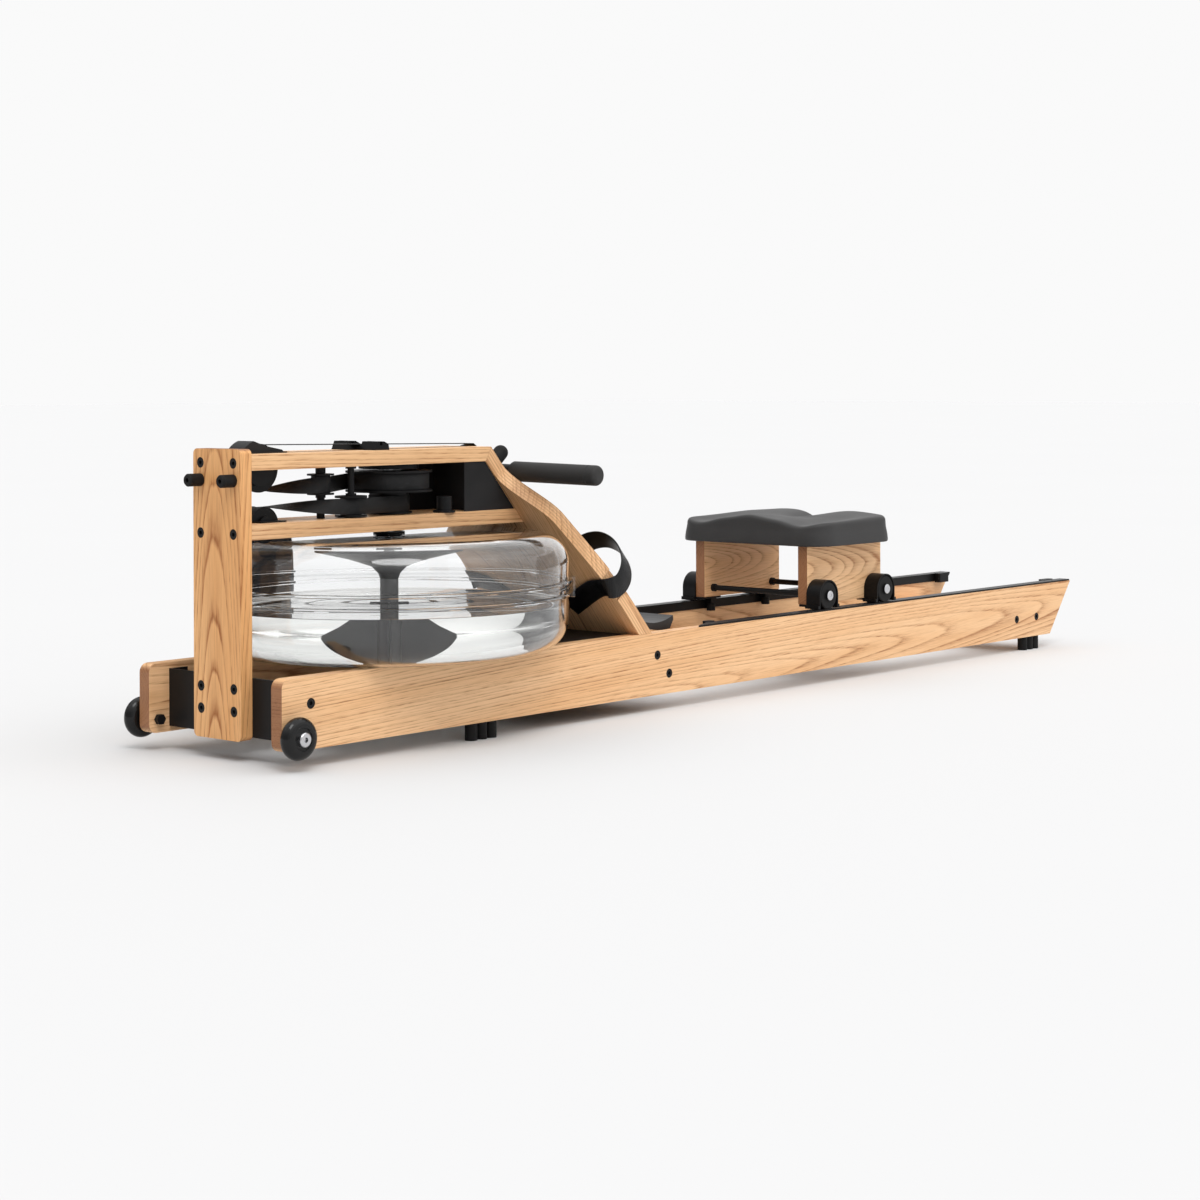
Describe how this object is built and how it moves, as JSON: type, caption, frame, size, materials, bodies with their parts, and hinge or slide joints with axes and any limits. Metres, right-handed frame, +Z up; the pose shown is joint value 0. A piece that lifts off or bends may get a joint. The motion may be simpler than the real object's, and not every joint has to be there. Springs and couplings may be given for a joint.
{
  "type": "water rowing machine",
  "caption": "Rowing machine on a wooden rail frame, with a clear round water tank, sliding seat, strapped foot board and a strap-driven handle.",
  "frame": {"origin": "on the floor, at the middle of the whole machine's length and width", "axes": "+X along the rails from the water tank (bow) to the free end (stern), +Y to the left of someone facing +X, +Z up"},
  "size_m": [2.1034, 0.56, 0.4517],
  "materials": {
    "oak": "light oak with a clear satin oil, softened edges",
    "plywood": "light plywood with a clear satin oil, plies showing on the edges",
    "black_steel": "black powder coat",
    "black_plastic": "moulded black plastic, fine texture",
    "grey_plastic": "moulded dark grey plastic, fine texture",
    "rubber": "plain black rubber",
    "grip_foam": "closed-cell foam with a skin",
    "seat_foam": "dark grey moulded foam with a fine leather-like skin",
    "webbing": "woven nylon webbing",
    "clear_tank": "clear moulded polycarbonate",
    "shaft_steel": "turned stainless steel"
  },
  "bodies": {
    "frame": {"rail_left": "oak", "rail_right": "oak", "track_left": "black_plastic", "track_right": "black_plastic", "track_stops": "black_plastic", "frame_bolts": "black_steel", "rubber_feet": "rubber", "front_spreader": "black_steel", "tank_plate": "black_steel", "stern_spreader": "oak", "front_post": "oak", "top_deck": "oak", "lower_deck": "oak", "foot_board": "plywood", "rubber_stops": "rubber", "tank_lower": "clear_tank", "tank_upper": "clear_tank", "tank_seal": "grey_plastic", "tank_latches": "clear_tank", "shaft_bearings": "black_plastic", "strap_supports": "black_steel", "pulley_hood": "grey_plastic", "bungee_cord": "rubber", "return_strap": "webbing", "drive_strap": "webbing", "handle_strap": "webbing", "rear_housing": "grey_plastic", "tablet_rest": "black_plastic", "foot_plates": "black_plastic", "foot_strap_left": "webbing", "foot_strap_right": "webbing"},
    "paddle": {"paddle_wheel": "black_plastic", "paddle_shaft": "shaft_steel"},
    "drum": {"strap_drum": "black_plastic"},
    "strap_pulley": {"strap_pulley": "black_plastic"},
    "return_pulley": {"return_pulley": "black_plastic"},
    "guide_spool_upper": {"guide_spool_upper": "black_plastic"},
    "guide_spool_lower": {"guide_spool_lower": "black_plastic"},
    "bungee_pulley": {"bungee_pulley": "black_plastic"},
    "transport_wheel_left": {"transport_wheel_left": "black_plastic"},
    "transport_wheel_right": {"transport_wheel_right": "black_plastic"},
    "handle": {"handle_bar": "black_steel", "handle_hub": "black_plastic", "grip_left": "grip_foam", "grip_right": "grip_foam"},
    "heel_cup_left": {"heel_cup_left": "grey_plastic"},
    "heel_cup_right": {"heel_cup_right": "grey_plastic"},
    "tank_plug": {"tank_plug": "rubber"},
    "seat_carriage": {"seat_pad": "seat_foam", "seat_boards": "oak", "seat_axles": "black_steel", "wheel_guards": "black_plastic"},
    "seat_wheel_front_left": {"seat_wheel_front_left": "black_plastic"},
    "guide_roller_front_left": {"guide_roller_front_left": "black_plastic"},
    "seat_wheel_front_right": {"seat_wheel_front_right": "black_plastic"},
    "guide_roller_front_right": {"guide_roller_front_right": "black_plastic"},
    "seat_wheel_rear_left": {"seat_wheel_rear_left": "black_plastic"},
    "guide_roller_rear_left": {"guide_roller_rear_left": "black_plastic"},
    "seat_wheel_rear_right": {"seat_wheel_rear_right": "black_plastic"},
    "guide_roller_rear_right": {"guide_roller_rear_right": "black_plastic"}
  },
  "joints": [
    {"name": "seat_slide", "type": "slide", "parent": "frame", "child": "seat_carriage", "axis": [1, 0, 0], "range_m": [-0.295, 0.575]},
    {"name": "handle_slide", "type": "slide", "parent": "frame", "child": "handle", "axis": [1, 0, 0], "range_m": [0, 1.3], "stiffness_N_per_m": 15, "springref_m": -0.6, "deforming": ["handle_strap"]},
    {"name": "drum_spin", "type": "hinge", "parent": "frame", "child": "drum", "pos_m": [-0.68745, 0, 0.385], "axis": [0, 0, 1], "range_deg": [0, 1230]},
    {"name": "strap_pulley_spin", "type": "hinge", "parent": "frame", "child": "strap_pulley", "pos_m": [-0.95625, 0, 0.4125], "axis": [0, 1, 0], "range_deg": [0, 2240]},
    {"name": "return_pulley_spin", "type": "hinge", "parent": "frame", "child": "return_pulley", "pos_m": [-0.94625, 0, 0.33], "axis": [0, 1, 0], "range_deg": [0, 1530]},
    {"name": "bungee_pulley_spin", "type": "hinge", "parent": "frame", "child": "bungee_pulley", "pos_m": [-0.95105, 0, 0.075], "axis": [0, 1, 0], "range_deg": [0, 1900]},
    {"name": "guide_spool_upper_spin", "type": "hinge", "parent": "frame", "child": "guide_spool_upper", "pos_m": [-0.83325, -0.008, 0.385], "axis": [0, 0, 1], "range_deg": [-5060, 0]},
    {"name": "guide_spool_lower_spin", "type": "hinge", "parent": "frame", "child": "guide_spool_lower", "pos_m": [-0.79025, -0.027, 0.3515], "axis": [0, 0, 1], "range_deg": [0, 2270]},
    {"name": "paddle_spin", "type": "hinge", "parent": "frame", "child": "paddle", "pos_m": [-0.68745, 0, 0.2], "axis": [0, 0, 1], "continuous": true},
    {"name": "transport_wheel_left_spin", "type": "hinge", "parent": "frame", "child": "transport_wheel_left", "pos_m": [-1.02175, 0.1726, 0.046], "axis": [0, 1, 0], "continuous": true},
    {"name": "transport_wheel_right_spin", "type": "hinge", "parent": "frame", "child": "transport_wheel_right", "pos_m": [-1.02175, -0.1726, 0.046], "axis": [0, 1, 0], "continuous": true},
    {"name": "heel_cup_left_slide", "type": "slide", "parent": "frame", "child": "heel_cup_left", "axis": [0.6508, 0, -0.7593], "range_m": [-0.03, 0.03]},
    {"name": "heel_cup_right_slide", "type": "slide", "parent": "frame", "child": "heel_cup_right", "axis": [0.6508, 0, -0.7593], "range_m": [-0.03, 0.03]},
    {"name": "tank_plug_pull", "type": "slide", "parent": "frame", "child": "tank_plug", "axis": [0, 0, 1], "range_m": [0, 0.03]},
    {"name": "seat_wheel_front_left_roll", "type": "hinge", "parent": "seat_carriage", "child": "seat_wheel_front_left", "pos_m": [0.22895, 0.146, 0.1542], "axis": [0, 1, 0], "range_deg": [-705, 1370]},
    {"name": "seat_wheel_front_right_roll", "type": "hinge", "parent": "seat_carriage", "child": "seat_wheel_front_right", "pos_m": [0.22895, -0.146, 0.1542], "axis": [0, 1, 0], "range_deg": [-705, 1370]},
    {"name": "seat_wheel_rear_left_roll", "type": "hinge", "parent": "seat_carriage", "child": "seat_wheel_rear_left", "pos_m": [0.40395, 0.146, 0.1542], "axis": [0, 1, 0], "range_deg": [-705, 1370]},
    {"name": "seat_wheel_rear_right_roll", "type": "hinge", "parent": "seat_carriage", "child": "seat_wheel_rear_right", "pos_m": [0.40395, -0.146, 0.1542], "axis": [0, 1, 0], "range_deg": [-705, 1370]},
    {"name": "guide_roller_front_left_roll", "type": "hinge", "parent": "seat_carriage", "child": "guide_roller_front_left", "pos_m": [0.24345, 0.12395, 0.1165], "axis": [0, 0, 1], "range_deg": [-2100, 4050]},
    {"name": "guide_roller_front_right_roll", "type": "hinge", "parent": "seat_carriage", "child": "guide_roller_front_right", "pos_m": [0.24345, -0.12395, 0.1165], "axis": [0, 0, 1], "range_deg": [-4050, 2100]},
    {"name": "guide_roller_rear_left_roll", "type": "hinge", "parent": "seat_carriage", "child": "guide_roller_rear_left", "pos_m": [0.40745, 0.12395, 0.1165], "axis": [0, 0, 1], "range_deg": [-2100, 4050]},
    {"name": "guide_roller_rear_right_roll", "type": "hinge", "parent": "seat_carriage", "child": "guide_roller_rear_right", "pos_m": [0.40745, -0.12395, 0.1165], "axis": [0, 0, 1], "range_deg": [-4050, 2100]}
  ],
  "couplings": [
    {"joint": "drum_spin", "follows": "handle_slide", "rad_per_m": 16.447},
    {"joint": "strap_pulley_spin", "follows": "handle_slide", "rad_per_m": 29.94},
    {"joint": "return_pulley_spin", "follows": "handle_slide", "rad_per_m": 20.427},
    {"joint": "bungee_pulley_spin", "follows": "handle_slide", "rad_per_m": 25.329},
    {"joint": "guide_spool_upper_spin", "follows": "handle_slide", "rad_per_m": -67.568},
    {"joint": "guide_spool_lower_spin", "follows": "handle_slide", "rad_per_m": 30.154},
    {"joint": "seat_wheel_front_left_roll", "follows": "seat_slide", "rad_per_m": 41.322},
    {"joint": "seat_wheel_front_right_roll", "follows": "seat_slide", "rad_per_m": 41.322},
    {"joint": "seat_wheel_rear_left_roll", "follows": "seat_slide", "rad_per_m": 41.322},
    {"joint": "seat_wheel_rear_right_roll", "follows": "seat_slide", "rad_per_m": 41.322},
    {"joint": "guide_roller_front_left_roll", "follows": "seat_slide", "rad_per_m": 121.21},
    {"joint": "guide_roller_front_right_roll", "follows": "seat_slide", "rad_per_m": -121.21},
    {"joint": "guide_roller_rear_left_roll", "follows": "seat_slide", "rad_per_m": 121.21},
    {"joint": "guide_roller_rear_right_roll", "follows": "seat_slide", "rad_per_m": -121.21}
  ]
}
